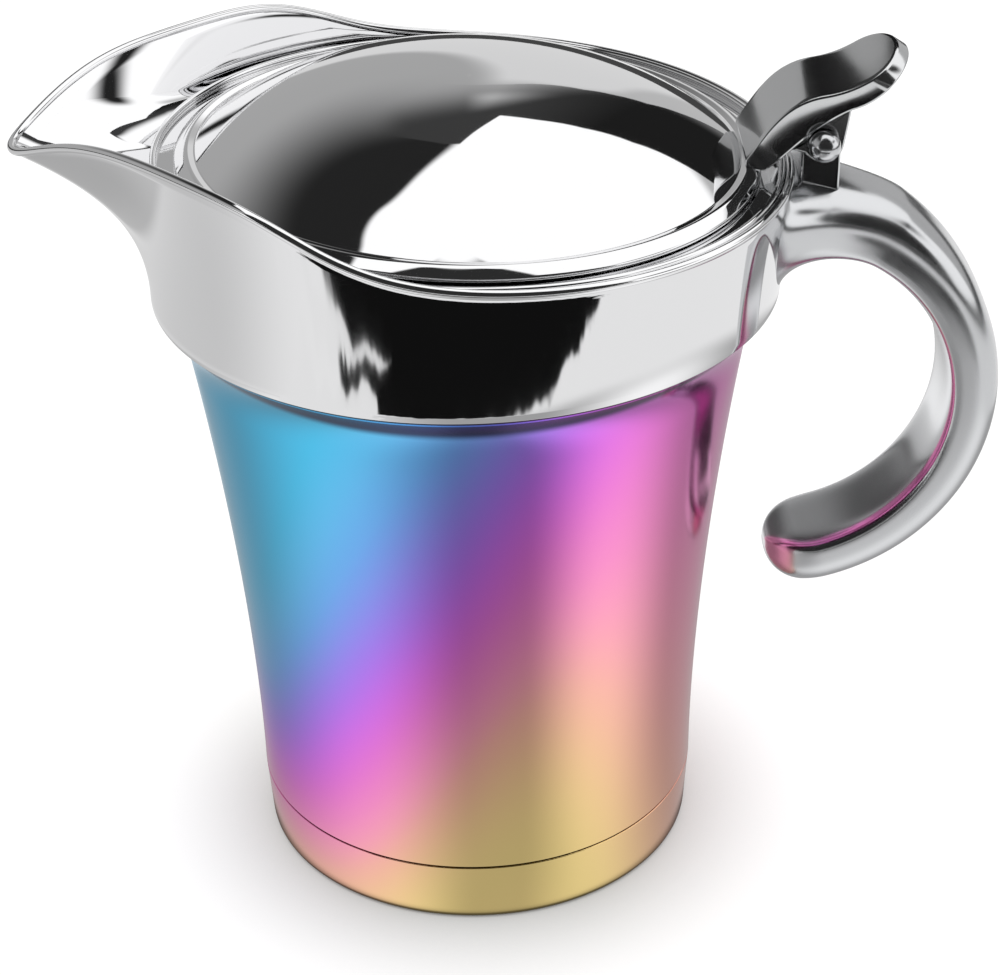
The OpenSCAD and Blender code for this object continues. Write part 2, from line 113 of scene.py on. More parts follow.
def roundedPath(corners, closed=True, steps=6):
    # each corner (u, v, radius) becomes an arc that touches both of its sides,
    # with one more point just outside each end of the arc to keep the flats flat
    spec = np.array(corners, float)
    p, radius = spec[:, :2], spec[:, 2]
    back, ahead = unit(np.roll(p, 1, 0) - p), unit(np.roll(p, -1, 0) - p)
    half = 0.5 * np.arccos(np.clip((back * ahead).sum(1), -0.999999, 0.999999))
    reach = (radius / np.tan(half))[:, None]
    centre = p + unit(back + ahead) * (radius / np.sin(half))[:, None]
    w = (math.pi - 2 * half)[:, None, None]
    t = np.linspace(0, 1, steps + 1)[None, :, None]
    arc = (centre[:, None] + ((p + back * reach) - centre)[:, None] * np.sin((1 - t) * w) / np.sin(w)
           + ((p + ahead * reach) - centre)[:, None] * np.sin(t * w) / np.sin(w))
    rim = 0.12 * radius[:, None]
    path = np.concatenate([(p + back * (reach + rim))[:, None], arc,
                           (p + ahead * (reach + rim))[:, None]], 1).reshape(-1, 2)
    step = np.linalg.norm(path - np.roll(path, 1, 0), axis=1)
    keep = step > 1e-5
    keep[0] = keep[0] or not closed
    return path[keep]


def revolved(profile, closed=True, steps=around):
    # the profile (r, z) turned about the z axis; an open one starts and ends at a pole radius
    turn = np.arange(steps) * 2 * math.pi / steps
    r, z = profile[:, 0][:, None], profile[:, 1][:, None]
    points = np.stack([r * np.cos(turn), r * np.sin(turn), z + 0 * turn], -1)
    return gridShell(points, wrapRows=closed, capRows=not closed)


def onRim(points):
    # mouth frame to boat frame: turned by the rim's tilt about y, then moved to the mouth's middle
    c, s = math.cos(math.radians(mouth["tilt"])), math.sin(math.radians(mouth["tilt"]))
    x, y, z = points[..., 0], points[..., 1], points[..., 2]
    return np.stack([c * x + s * z + mouth["shift"], y, c * z - s * x + mouth["z"]], -1)


def moved(shell, change):
    # the same faces on changed points
    verts, quads, tris = shell
    return change(verts), quads, tris


# materials
def linear(hexColour):
    # sRGB hex to linear light
    value = [int(hexColour[k:k + 2], 16) / 255 for k in (1, 3, 5)]
    return [v / 12.92 if v <= 0.04045 else ((v + 0.055) / 1.055) ** 2.4 for v in value] + [1.0]


def addNode(tree, kind, settings=None, links=None):
    # one node, named by its kind and, after a dot, its operation; settings go to properties or
    # sockets; links name an input and what feeds it: a socket, or a node for its first output
    kind, dot, operation = kind.partition(".")
    item = tree.nodes.new("ShaderNode" + kind)
    if dot:
        item.operation = operation
    for key, value in (settings or {}).items():
        if isinstance(key, str) and hasattr(item, key):
            setattr(item, key, value)
        else:
            item.inputs[key].default_value = value
    for key, source in (links or {}).items():
        source = source.outputs[0] if isinstance(source, bpy.types.Node) else source
        tree.links.new(source, item.inputs[key])
    return item


def newMaterial(name):
    # a material with an empty node tree
    material = bpy.data.materials.new(name)
    material.use_nodes = True
    tree = material.node_tree
    tree.nodes.clear()
    return material, tree


smoothStep = {"interpolation_type": "SMOOTHSTEP"}
# each finish: colour, roughness and depth of the waves in metres
steelLook = {"mirror": ("#e9e9ea", 0.03, 0.00012), "soft": ("#d6d7d8", 0.1, 0.00005),
             "satin": ("#d0d1d3", 0.17, 0.00002), "inner": ("#d2d2d2", 0.16, 0.0001),
             "waveSize": 0.045,      # metres across one faint dent of the polishing wheel
             "passSize": 0.011,      # metres across a patch that the last pass left a little duller
             "passFrom": 0.35, "passTo": 0.7, "duller": 1.25}


def steelMaterial(name, finish):
    # stainless sheet, buffed on a wheel: a clear mirror with faint long waves,
    # and soft patches where the last pass left the surface a little duller
    colour, roughness, waves = finish
    material, tree = newMaterial(name)
    place = addNode(tree, "TexCoord").outputs["Object"]
    wave = addNode(tree, "TexNoise", {"Scale": 1 / steelLook["waveSize"], "Detail": 1.0}, {"Vector": place})
    patch = addNode(tree, "TexNoise", {"Scale": 1 / steelLook["passSize"], "Detail": 2.0}, {"Vector": place})
    dull = addNode(tree, "MapRange",
                   {"From Min": steelLook["passFrom"], "From Max": steelLook["passTo"],
                    "To Min": roughness, "To Max": roughness * steelLook["duller"]}, {"Value": patch})
    bump = addNode(tree, "Bump", {"Strength": 1.0, "Distance": waves}, {"Height": wave})
    shader = addNode(tree, "BsdfPrincipled", {"Base Color": linear(colour), "Metallic": 1.0},
                     {"Roughness": dull, "Normal": bump})
    addNode(tree, "OutputMaterial", links={"Surface": shader})
    return material


# violet height: middle, swing and the turn where it is highest; gold height: foot, swing and turn
coatLook = {"roughness": 0.16, "anisotropy": 0.6, "grooveTurn": 0.25,
            "brushSize": 0.00035,   # metres between lathe marks, coarser than the real ones so that they show
            "brushStretch": 0.02, "brushDull": 0.15,
            "violet": (0.1037, 0.079, 19.7), "gold": (0.0073, 0.0487, -67.0), "drift": 0.008,
            "driftScale": 14.0, "from": -1.2, "to": 1.6, "atViolet": 0.33,
            # the next two lines paint an indigo dark reflection under the collar and a black shadow line in
            # the gap beneath it
            "paintedReflectionFrom": 0.1142, "paintedReflectionFade": 0.0022, "paintedReflectionShare": 0.93, "paintedReflectionReach": 0.0042, "paintedReflectionTurn": -95,
            "lineFrom": 0.1147, "shadowLineFrom": 0.1152, "deep": "#150e42", "shadowLineColour": "#070507",
            "bands": [(-1.2, "#4cc4ee"), (-0.8, "#67bff0"), (-0.5, "#6faff0"), (-0.3, "#829ef0"),
                      (-0.1, "#9b88f1"), (0.1, "#b678ef"), (0.3, "#d671e7"), (0.5, "#e878d4"),
                      (0.7, "#f48fc5"), (0.85, "#f8a0bb"), (1.0, "#f6b4a6"), (1.2, "#f4ca98"),
                      (1.4, "#f1d591"), (1.6, "#ebd28c")]}


def rampOf(tree, stops, factor):
    # colours blended by a smooth spline through (place, hex) stops
    ramp = addNode(tree, "ValToRGB", links={"Fac": factor})
    band = ramp.color_ramp
    band.interpolation = "B_SPLINE"
    for k, (place, colour) in enumerate(stops):
        stop = band.elements[k] if k < 2 else band.elements.new(place)
        stop.position, stop.color = place, linear(colour)
    return ramp


def coatedMaterial(name):
    # lathe-brushed steel with a vacuum coating whose thickness grows down the wall and drifts round
    # it: the interference colour runs from cyan through violet and pink to gold
    # at the top of the wall a dark reflection and a shadow line are painted into the colour
    look = coatLook
    material, tree = newMaterial(name)
    place = addNode(tree, "TexCoord").outputs["Object"]
    axes = addNode(tree, "SeparateXYZ", links={0: place})
    flat = addNode(tree, "VectorMath.MULTIPLY", {1: (1, 1, 0)}, {0: place})
    outward = addNode(tree, "VectorMath.NORMALIZE", links={0: flat})

    def cosFrom(angle):
        # cosine of the angle between the point's direction and the given one
        rad = math.radians(angle)
        return addNode(tree, "VectorMath.DOT_PRODUCT", {1: (math.cos(rad), math.sin(rad), 0)},
                       {0: outward}).outputs["Value"]

    drift = addNode(tree, "TexNoise", {"Scale": look["driftScale"], "Detail": 2.0}, {"Vector": place})
    height = addNode(tree, "Math.MULTIPLY_ADD", {1: look["drift"]}, {0: drift, 2: axes.outputs[2]})
    # share of the way down from the violet height, 0, to the gold height, 1; the gold height
    # swings with the fourth power of the cosine, so that it arches in front and behind
    middle, swing, turnAt = look["violet"]
    violet = addNode(tree, "Math.MULTIPLY_ADD", {1: swing, 2: middle}, {0: cosFrom(turnAt)})
    foot, swing, turnAt = look["gold"]
    power = addNode(tree, "Math.POWER", {1: 4.0}, {0: cosFrom(turnAt)})
    gold = addNode(tree, "Math.MULTIPLY_ADD", {1: swing, 2: foot}, {0: power})
    down = addNode(tree, "Math.SUBTRACT", links={0: violet, 1: height})
    span = addNode(tree, "Math.SUBTRACT", links={0: violet, 1: gold})
    share = addNode(tree, "Math.DIVIDE", links={0: down, 1: span})
    # the ramp starts well above the violet height, and has come to the place atViolet there
    full = look["to"] - look["from"]
    onRamp = addNode(tree, "Math.MULTIPLY_ADD", {1: (1 - look["atViolet"]) / full,
                                                 2: (look["atViolet"] - look["from"]) / full}, {0: share})
    colour = rampOf(tree, [((at - look["from"]) / full, shade) for at, shade in look["bands"]], onRamp)
    # under the collar a dark reflection is painted in indigo, reaching furthest down in front and behind;
    # below the collar's edge a bright line is left, then a black shadow line is painted in the gap
    side = cosFrom(look["paintedReflectionTurn"])
    reach = addNode(tree, "Math.MULTIPLY", links={0: side, 1: side})
    reach = addNode(tree, "Math.MULTIPLY_ADD", {1: look["paintedReflectionReach"]}, {0: reach, 2: axes.outputs[2]})
    paintedReflection = addNode(tree, "MapRange",
                    {**smoothStep, "From Min": look["paintedReflectionFrom"], "To Max": look["paintedReflectionShare"],
                     "From Max": look["paintedReflectionFrom"] + look["paintedReflectionFade"]}, {"Value": reach})
    light = addNode(tree, "Math.LESS_THAN", {1: look["lineFrom"]}, {0: axes.outputs[2]})
    paintedReflection = addNode(tree, "Math.MULTIPLY", links={0: paintedReflection, 1: light})
    withPaintedReflection = addNode(tree, "Mix", {"data_type": "RGBA", 7: linear(look["deep"])}, {0: paintedReflection, 6: colour})
    # painted shadow: a black line in the gap where the shell meets the collar's edge
    paintedShadowLine = addNode(tree, "Math.GREATER_THAN", {1: look["shadowLineFrom"]}, {0: axes.outputs[2]})
    finished = addNode(tree, "Mix", {"data_type": "RGBA", 7: linear(look["shadowLineColour"])},
                       {0: paintedShadowLine, 6: withPaintedReflection.outputs[2]})
    # lathe marks run round the wall, so the noise is stretched along x and y
    long = look["brushStretch"]
    stretch = addNode(tree, "Mapping", {"Scale": (long, long, 1.0)}, {"Vector": place})
    brush = addNode(tree, "TexNoise", {"Scale": 1 / look["brushSize"], "Detail": 2.0}, {"Vector": stretch})
    low, high = (look["roughness"] * (1 + way * look["brushDull"]) for way in (-1, 1))
    dull = addNode(tree, "MapRange", {"To Min": low, "To Max": high}, {"Value": brush})
    tangent = addNode(tree, "Tangent", {"direction_type": "RADIAL", "axis": "Z"})
    shader = addNode(tree, "BsdfPrincipled",
                     {"Metallic": 1.0, "Anisotropic": look["anisotropy"],
                      "Anisotropic Rotation": look["grooveTurn"]},
                     {"Base Color": finished.outputs[2], "Roughness": dull, "Tangent": tangent})
    addNode(tree, "OutputMaterial", links={"Surface": shader})
    return material


# mirror polish: a near perfect mirror, whose hard black and white shapes bend with the sheet
mirrorSteel = steelMaterial("stainless_mirror_polished", steelLook["mirror"])
# soft polish: the same shapes a little greyer, with their edges just blurred
softSteel = steelMaterial("stainless_soft_polished", steelLook["soft"])
# tumbled: broad silky gradients, with bright lines only along the edges
satinSteel = steelMaterial("stainless_tumbled", steelLook["satin"])
# inner polish: a cloudy grey sheen, wavier than the outside
innerSteel = steelMaterial("stainless_inner_polished", steelLook["inner"])
# rainbow coating: glowing satin bands of cyan, violet, pink and gold, drawn upright by the brushing
coatedSteel = coatedMaterial("rainbow_coated_steel")
print("materials made")


# base cap and outer shell
def shellRadius(z):
    # seam radius, plus the long curve to the power 1.75, plus the quick flare to the power 2.5
    u = np.maximum(0, (z - body["capH"]) / (body["top"] - body["capH"]))
    w = np.maximum(0, (z - body["top"] + body["topFlareH"]) / body["topFlareH"])
    return body["seamR"] + body["flare"] * u ** 1.75 + body["topFlare"] * w ** 2.5


def makeBody():
    # a cup with rounded corners, and the flared wall, which has a rounded brow and comes back down
    # inside by the sheet's thickness; both are profiles turned about z
    b = body
    cap = roundedPath([(b["pole"], 0, 0), (b["baseR"], 0, b["edgeR"]), (b["seamR"], b["capTop"], 0.18),
                       (b["seamR"] - b["sheet"], b["capTop"], 0.1),
                       (b["baseR"] - b["sheet"], b["edgeR"], 0.5),
                       (b["baseR"] - b["edgeR"], b["sheet"], 0.4), (b["pole"], b["sheet"], 0)], closed=False)
    addPiece("base_cap_coated", [revolved(cap, closed=False)], "boat", ["base_cap"],
             coatedSteel)
    neckR, edge = b["baseR"] - b["sheet"] - b["neckGap"], b["brow"]
    z = b["shellFoot"] + 0.2 + (b["top"] - edge - b["shellFoot"] - 0.2) * np.linspace(0, 1, 150) ** 0.8
    outer = np.stack([shellRadius(z), z], -1)
    roll = np.radians(np.linspace(0, 90, 8))[1:]
    brow = np.stack([shellRadius(z[-1]) - edge + edge * np.cos(roll), z[-1] + edge * np.sin(roll)], -1)
    inner = np.stack([shellRadius(z[::-1]) - b["sheet"], z[::-1]], -1)[:-3]
    foot = roundedPath([(neckR - b["sheet"], b["capH"] + b["neckFoot"], 0),
                        (neckR - b["sheet"], b["neckFoot"], 0.2),
                        (neckR, b["neckFoot"], 0.2), (neckR, b["shellFoot"], 0.1),
                        (b["seamR"], b["shellFoot"], 0.18),
                        (shellRadius(b["shellFoot"] + 0.4), b["shellFoot"] + 0.4, 0)], closed=False)[:-1]
    shell = np.vstack([foot, outer[1:], brow, inner])
    addPiece("outer_shell_coated", [revolved(shell)], "boat", ["outer_shell"], coatedSteel)


# inner vessel
liner = {"gap": 4.2, "floor": 8.8, "fillet": 8.0, "drop": 4.6, "topR": 54.5, "skirtFoot": 15.7, "pole": 0.5}


def linerRadius(z):
    # the shell's radius less its sheet and the gap, eased to the mouth's radius above the shell
    low = shellRadius(np.minimum(z, body["top"])) - body["sheet"] - liner["gap"]
    span = liner["skirtFoot"] + body["topFlareH"]
    w = np.clip((z - body["top"] + body["topFlareH"]) / span, 0, 1)
    return low + (liner["topR"] - low) * w * w * (3 - 2 * w)


def makeLiner():
    # a flat floor, a quarter round and the wall of linerRadius, then back inside by the sheet
    s, f = body["sheet"], liner["fillet"]
    low, top = liner["floor"] + f, mouth["z"] - liner["drop"]
    r = linerRadius(low)
    turn = np.radians(np.linspace(0, 90, 24))
    outerCorner = np.stack([r - f + f * np.sin(turn), low - s - f * np.cos(turn)], -1)
    innerCorner = np.stack([r - s - f + f * np.sin(turn), low - f * np.cos(turn)], -1)[::-1]
    z = np.linspace(low, top, 120)[1:]
    wall = np.stack([linerRadius(z), z], -1)
    profile = np.vstack([[liner["pole"], liner["floor"] - s], outerCorner, wall,
                         (wall - [s, 0])[::-1], innerCorner, [liner["pole"], liner["floor"]]])
    shell = moved(revolved(profile, closed=False), lambda v: v + [mouth["shift"], 0, 0])
    addPiece("inner_vessel", [shell], "boat", ["liner"], innerSteel)


# mouth ring
ring = {"r": 55.6, "bead": 0.6, "ledge": 0.8, "ledgeR": 51.0, "skirt": 8.0}


def makeRing():
    # a round bead over a skirt, with a ledge inwards for the lid, turned and set on the tilted rim
    s = body["sheet"]
    turn = np.radians(np.linspace(228, -48, 40))
    bead = np.stack([ring["r"] + ring["bead"] * np.cos(turn), ring["bead"] * np.sin(turn)], -1)
    inside, outside = ring["r"] - s / 2, ring["r"] + s / 2
    low = roundedPath([(outside, -0.6, 0), (outside, -ring["skirt"], 0.3), (inside, -ring["skirt"], 0.3),
                       (inside, -ring["ledge"] - s, 0.2), (ring["ledgeR"], -ring["ledge"] - s, 0.3),
                       (ring["ledgeR"], -ring["ledge"], 0.3), (inside, -ring["ledge"], 0.25),
                       (inside, -0.5, 0)], closed=False)
    shell = moved(revolved(np.vstack([bead, low]), steps=384), onRim)
    addPiece("mouth_ring", [shell], "boat", ["seat_ring"], mirrorSteel)


# collar with its spout
collar = {"rimR": 57.1, "roll": 0.85, "wall": 1.0, "step": 0.3, "reach": 23.6, "spread": 19.6, "power": 2.35,
          "flare": 2.1, "lipRise": 11.0, "lipSpread": 64.0, "tipDip": 8.8, "tipSpread": 12.5,
          "footGap": 0.02, "footRound": 0.2}
collarR = float(shellRadius(body["top"])) + collar["step"]


def wallRadius(z):
    # straight taper from the shell's top to the rim
    return collarR + (collar["rimR"] + collar["wall"] / 2 - collarR) * (z - body["top"]) / mouth["rise"]


def wallShift(z):
    # the wall's middle moves to the mouth's middle in step with height
    return mouth["shift"] * (z - body["top"]) / mouth["rise"]


def lipShare(a):
    # one over one plus the ninth power: a flat plateau at the spout that drops at the lip's end
    return 1 / (1 + (np.abs(a) / collar["lipSpread"]) ** 9)


def lipHeight(a):
    # tilted rim plane, plus the raised lips, less a bell-shaped notch at the tip
    tilt = collar["rimR"] * math.tan(math.radians(mouth["tilt"])) * np.cos(np.radians(a))
    return (mouth["z"] + collar["roll"] / 2 + tilt + collar["lipRise"] * lipShare(a)
            - collar["tipDip"] * np.exp(-(a / collar["tipSpread"]) ** 2))


def spoutShare(a):
    # a bell of power 1.6 whose point is rounded over the middle three degrees
    return np.exp((9 ** 0.8 - (a * a + 9) ** 0.8) / collar["spread"] ** 1.6)


def skinRadius(a, z):
    # round wall, plus the spout's reach growing with height, plus the side lips
    t = np.maximum(0, (z - body["top"]) / (lipHeight(a) - body["top"]))
    return (wallRadius(z) + collar["reach"] * spoutShare(a) * t ** collar["power"]
            + collar["flare"] * lipShare(a) * t * t)


def skinSlope(a, z):
    # radius gained for each millimetre of height
    return (skinRadius(a, z + 0.1) - skinRadius(a, z - 0.1)) / 0.2


def skinThickness(a, z):
    # wall thickness along the radius, from the slopes along z and round the wall
    turn = (skinRadius(a + 0.5, z) - skinRadius(a - 0.5, z)) * 180 / math.pi / skinRadius(a, z)
    return collar["wall"] * np.sqrt(1 + skinSlope(a, z) ** 2 + turn ** 2)


def polar(a, r, z):
    # angle a from -x round the collar's middle at height z
    rad = np.radians(a)
    return np.stack(np.broadcast_arrays(wallShift(z) - r * np.cos(rad), r * np.sin(rad), z), -1)


def makeCollar():
    # grid of angle by height: up the outside of the skin, round the lip's roll, down the inside
    i = np.arange(640) * 360 / 640
    a = i - 20 * np.sin(np.radians(i))           # denser at the spout
    a = np.where(a > 180, a - 360, a)[None, :]
    zc = lipHeight(a) - collar["roll"]
    middle = skinRadius(a, zc) - skinThickness(a, zc) / 2
    slope = np.degrees(np.arctan(skinSlope(a, zc)))
    k = (np.linspace(0, 1, 44) ** 0.8)[:, None]
    low, bend = body["top"] + collar["footGap"], collar["footRound"]
    z = low + bend + (zc - 1.6 * collar["roll"] - low - bend) * k
    f = np.radians(np.linspace(-60, 240, 31)[:, None] - slope)
    edge = np.radians(np.linspace(0, 90, 6))[:-1, None]
    rows = np.concatenate([
        polar(a, skinRadius(a, low + bend) - bend + bend * np.sin(edge), low + bend - bend * np.cos(edge)),
        polar(a, skinRadius(a, z), z),
        polar(a, middle + collar["roll"] * np.cos(f), zc + collar["roll"] * np.sin(f)),
        polar(a, skinRadius(a, z) - skinThickness(a, z), z)[::-1]])
    addPiece("collar_and_spout", [gridShell(rows, wrapRows=True)], "boat", ["collar"],
             mirrorSteel)


# spout tray
tray = {"drop": 3.0, "rise": 1.5, "riseSpread": 40.0, "spread": 66.0, "sheet": 0.8, "sweep": 11.0,
        "clear": 1.9, "ringGap": 0.45, "cornerGap": 0.08, "skinGap": 0.03, "backGap": 0.02, "underGap": 0.1}


def trayTop(a, u):
    # rim plane less the drop, plus a climb with the square of the way out, strongest at the spout
    tilt = ring["r"] * math.tan(math.radians(mouth["tilt"])) * np.cos(np.radians(a))
    climb = tray["rise"] * u * u * np.exp(-(a / tray["riseSpread"]) ** 2)
    return mouth["z"] - tray["drop"] + tilt + climb


def skinInside(a, z, gap):
    # radius of the skin's inner face, less a gap
    return skinRadius(np.abs(a), z) - skinThickness(np.abs(a), z) - gap


def makeTray():
    # from the ring along the tray's own line, then a quadratic curve that touches the tray and the
    # inside of the skin, so that the floor sweeps up into the spout's wall
    a = np.linspace(-tray["spread"], tray["spread"], 300)[:, None]
    start, outer = ring["r"] + tray["ringGap"], trayTop(a, 1.0)
    corner, gap = skinInside(a, outer, tray["cornerGap"]), tray["skinGap"]
    # the sweep ends under the roll of the lip, by a soft minimum of the two lengths
    lean = np.sqrt(1 + skinSlope(np.abs(a), outer) ** 2)
    sweep = np.minimum(0.9 * (corner - start), tray["sweep"])
    sweep = -np.log(np.exp(-sweep) + np.exp(-(lipHeight(np.abs(a)) - outer - tray["clear"]) * lean))
    high = outer + sweep / lean
    far = skinInside(a, high, gap)
    # where the skin's tangent there meets the tray's line
    slope = (skinInside(a, high + 0.1, gap) - skinInside(a, high - 0.1, gap)) / 0.2
    climb = 2 * tray["rise"] * np.exp(-(a / tray["riseSpread"]) ** 2) / (corner - start)
    zMeet = (outer + climb * (far - slope * high - corner)) / (1 - climb * slope)
    rMeet = far + slope * (zMeet - high)
    reach = np.minimum((high - zMeet) * np.sqrt(1 + slope ** 2), 0.95 * (rMeet - start))
    flat = (rMeet - reach - start) / (corner - start)
    t = np.linspace(0, 1, 36)[None, 1:]
    ends = (rMeet - reach, trayTop(a, flat)), (rMeet, zMeet), (far, high)
    r, z = (((1 - t) ** 2 * ends[0][k] + 2 * t * (1 - t) * ends[1][k] + t * t * ends[2][k]) for k in range(2))
    r = np.minimum(r, skinInside(a, z, gap))
    flat = flat * np.linspace(0, 1, 12)[None, :]
    upper = polar(a, np.concatenate([start + (corner - start) * flat, r], 1),
                  np.concatenate([trayTop(a, flat), z], 1))
    lift = np.linspace(0, 1, 14)[None, :-1]
    zBack = high + (outer - tray["sheet"] - high) * lift
    u = np.linspace(1, 0, 12)[None, :]
    behind = polar(a, skinInside(a, zBack, tray["backGap"]), zBack)[:, 1:]
    width = skinInside(a, outer - tray["sheet"], tray["underGap"]) - start
    under = polar(a, start + width * u, trayTop(a, u) - tray["sheet"])
    rows = np.concatenate([upper, behind, under], 1)
    addPiece("spout_tray_polished", [gridShell(rows, capRows=True)], "boat", ["spout_tray"],
             mirrorSteel)


# handle
handle = {"x": 57.0, "z": 92.5, "mid": 34.5, "half": 10.5, "edge": 3.5, "crown": 3.0, "rootCrown": 3.0,
          "rootDip": 0.8, "rootFlare": 9.0, "rootFillet": 6.6, "tip": 92.0, "tipRound": 6.5, "tipFine": 12.0,
          "rootFrom": 58.0, "rootSpan": 30.0, "rootEnd": 88.0, "crownFrom": 20.0, "crownSpan": 54.5,
          # power of the superellipse along the loop, and what it loses at the root
          "insidePower": (5, 2.4), "outsidePower": (3.2, 0.6)}


def collarFace(y, z):
    # x of the collar's round face at a place across it
    return wallShift(z) + np.sqrt(np.maximum(wallRadius(z) ** 2 - y * y, 1.0))


def makeHandle():
    # an arc of a circle carries a superellipse, flatter inside than outside, that swells to the
    # root by powers of the angle and is drawn onto the collar's face there
    h = handle
    # rings by their angle, denser round the tip
    tipArc = h["tipFine"] * np.linspace(0, 1, 60) ** 2
    rest = np.linspace(h["tipFine"] - h["tip"], h["rootEnd"], 290)
    a = np.concatenate([tipArc[1:] - h["tip"] + 0.02, rest[1:]])[:, None]
    q = np.maximum(0, (a - h["rootFrom"]) / h["rootSpan"])

    def tipShare(length):
        # quarter ellipse: falls to nothing at the free tip
        t = np.minimum(1, np.radians(a + h["tip"]) * h["mid"] / length)
        return np.sqrt(np.maximum(0.0004, 1 - (1 - t) ** 2))

    half = (h["half"] + h["rootFlare"] * q ** 2.3) * tipShare(h["half"])
    under = (h["edge"] + h["rootFillet"] * q ** 2.4) * tipShare(h["tipRound"])
    swell = np.clip((a - h["crownFrom"]) / h["crownSpan"], 0, 1) ** 1.6
    crown = (h["edge"] + h["crown"] + h["rootCrown"] * swell - h["rootDip"] * q) * tipShare(h["tipRound"])
    b = np.radians(np.arange(144) * 2.5)[None, :]
    inside = np.sin(b) < 0
    power = np.where(inside, *(full - loss * q for full, loss in (h["insidePower"], h["outsidePower"])))
    depth = np.where(inside, under, crown)
    # superellipse in polar form: distance along direction b
    reach = ((np.abs(np.cos(b)) / half) ** power + (np.abs(np.sin(b)) / depth) ** power) ** (-1 / power)
    y, o = reach * np.cos(b), reach * np.sin(b)
    rad = np.radians(a)
    z = h["z"] + (h["mid"] + o) * np.sin(rad)
    x = h["x"] + (h["mid"] + o) * np.cos(rad)
    w = q * q
    x = x * (1 - w) + collarFace(y, z) * w
    rings = np.stack([x, y, z], -1)
    addPiece("handle_loop", [gridShell(rings, capRows=True)], "boat", ["handle"],
             satinSteel)


# hinge
hinge = {"x": 62.9, "z": 143.7, "pin": 1.5, "ball": 2.8, "ballY": 10.8, "flat": 9.8, "blockHalf": 6.9,
         "blockR": 3.45, "blockEdge": 0.4, "seat": 131.8, "pinEnd": 11.7, "capFit": 0.05, "capDeep": 1.0,
         "earIn": 7.2, "earOut": 9.3, "earR": 3.7, "edge": 0.45, "pole": 0.01}


def plate(outline, y0, y1, edge, steps=6):
    # an outline (x, z) carried across y, with its two rims rounded by a quarter circle
    ahead = np.roll(outline, -1, 0) - np.roll(outline, 1, 0)
    normal = unit(np.stack([ahead[:, 1], -ahead[:, 0]], -1))
    area = np.sum(outline[:, 0] * np.roll(outline[:, 1], -1) - np.roll(outline[:, 0], -1) * outline[:, 1])
    normal = normal if area > 0 else -normal
    turn = np.radians(np.linspace(0, 90, steps + 1))
    inset = np.concatenate([[1.12], 1 - np.sin(turn), [0, 0], (1 - np.sin(turn))[::-1], [1.12]]) * edge
    gap = (1 - np.cos(turn)) * edge
    y = np.concatenate([[y0], y0 + gap, [y0 + 1.12 * edge, y1 - 1.12 * edge], (y1 - gap)[::-1], [y1]])
    flat = outline[None] - normal[None] * inset[:, None, None]
    return np.stack([flat[..., 0], np.broadcast_to(y[:, None], flat.shape[:2]), flat[..., 1]], -1)


def toAxis(v):
    # from the pin's middle to the boat's frame
    return v + [hinge["x"], 0, hinge["z"]]


def turnedAcross(profile, closed, steps=96):
    # a profile (r, y) turned about the pin's axis
    v, q, t = revolved(profile, closed, steps)
    v = np.stack([v[:, 0], v[:, 2], v[:, 1]], -1)
    return toAxis(v), q[:, ::-1], t[:, ::-1]


def makeHinge():
    # a block with a half round top, carried across; a pin and a cap, each a ball cut flat, turned
    h = hinge
    turn = np.radians(np.linspace(0, 180, 49))
    top = np.stack([h["blockR"] * np.cos(turn), h["blockR"] * np.sin(turn)], -1)
    low = h["seat"] - h["z"]
    block = np.vstack([top, [[-h["blockR"], low]], [[0, low]], [[h["blockR"], low]]])
    rows = plate(block, -h["blockHalf"], h["blockHalf"], h["blockEdge"])
    addPiece("hinge_block_polished", [moved(gridShell(rows, capRows=True), toAxis)], "boat", ["hinge_block"],
             softSteel)
    turn = np.radians(np.linspace(0, 180, 60))
    sphere = np.stack([h["ball"] * np.sin(turn), h["ballY"] + h["ball"] * np.cos(turn)], -1)
    sphere = sphere[sphere[:, 1] > h["flat"]]
    rim = math.sqrt(h["ball"] ** 2 - (h["ballY"] - h["flat"]) ** 2)
    sphere[0, 0] = h["pole"]
    ballHead = np.vstack([sphere, [[rim, h["flat"]], [rim - 0.1, h["flat"]]]])
    end = [[h["pin"], -h["pinEnd"]], [h["pole"], -h["pinEnd"] - 0.05]]
    pin = np.vstack([ballHead, [[h["pin"], h["flat"]]], end]) * [1, -1]
    addPiece("hinge_pin_polished", [turnedAcross(pin, False)], "boat", ["hinge_pin"],
             satinSteel)
    bore, deep = h["pin"] + h["capFit"], h["ballY"] + h["capDeep"]
    cap = np.vstack([ballHead, [[bore, h["flat"]], [bore, deep], [h["pole"], deep]]])
    addPiece("pin_cap_polished", [turnedAcross(cap, False)], "boat", ["pin_cap"],
             satinSteel)


# thumb lever, whose outlines are (x, z) from the pin and run from the foot to the free end
lever = {"half": 9.5, "edge": 0.5, "round": 6.6, "footRound": 0.3, "gap": 0.05,
         "topRise": [(-13.5, -2.8), (-10.1, 2), (-7.5, 7.8), (0, 8.8)],
         "topEnd": [(0, 8.8), (5, 9.6), (7.5, 11.5), (13.1, 15)],
         "sole": [(-13.5, -5), (-10, -5), (-8.3, -3.8)],
         "underRise": [(-5.5, -1.2), (-3, 1.2), (1, 4.4), (5, 6)],
         "underEnd": [(5, 6), (9.5, 7.2), (11.5, 10.5), (15.5, 13.5)],
         "earFoot": [(-5.6, -1.2)], "earTop": [(4.2, 2.7), (4.75, 6.4), (0, 7.6), (-4.0, 4.0)],
         "earTurn": (212, 350)}


def bezier(p, t):
    # cubic curve with two end points and two pull points
    p, t = np.array(p, float), t[:, None]
    return (1 - t) ** 3 * p[0] + 3 * (1 - t) ** 2 * t * p[1] + 3 * (1 - t) * t * t * p[2] + t ** 3 * p[3]


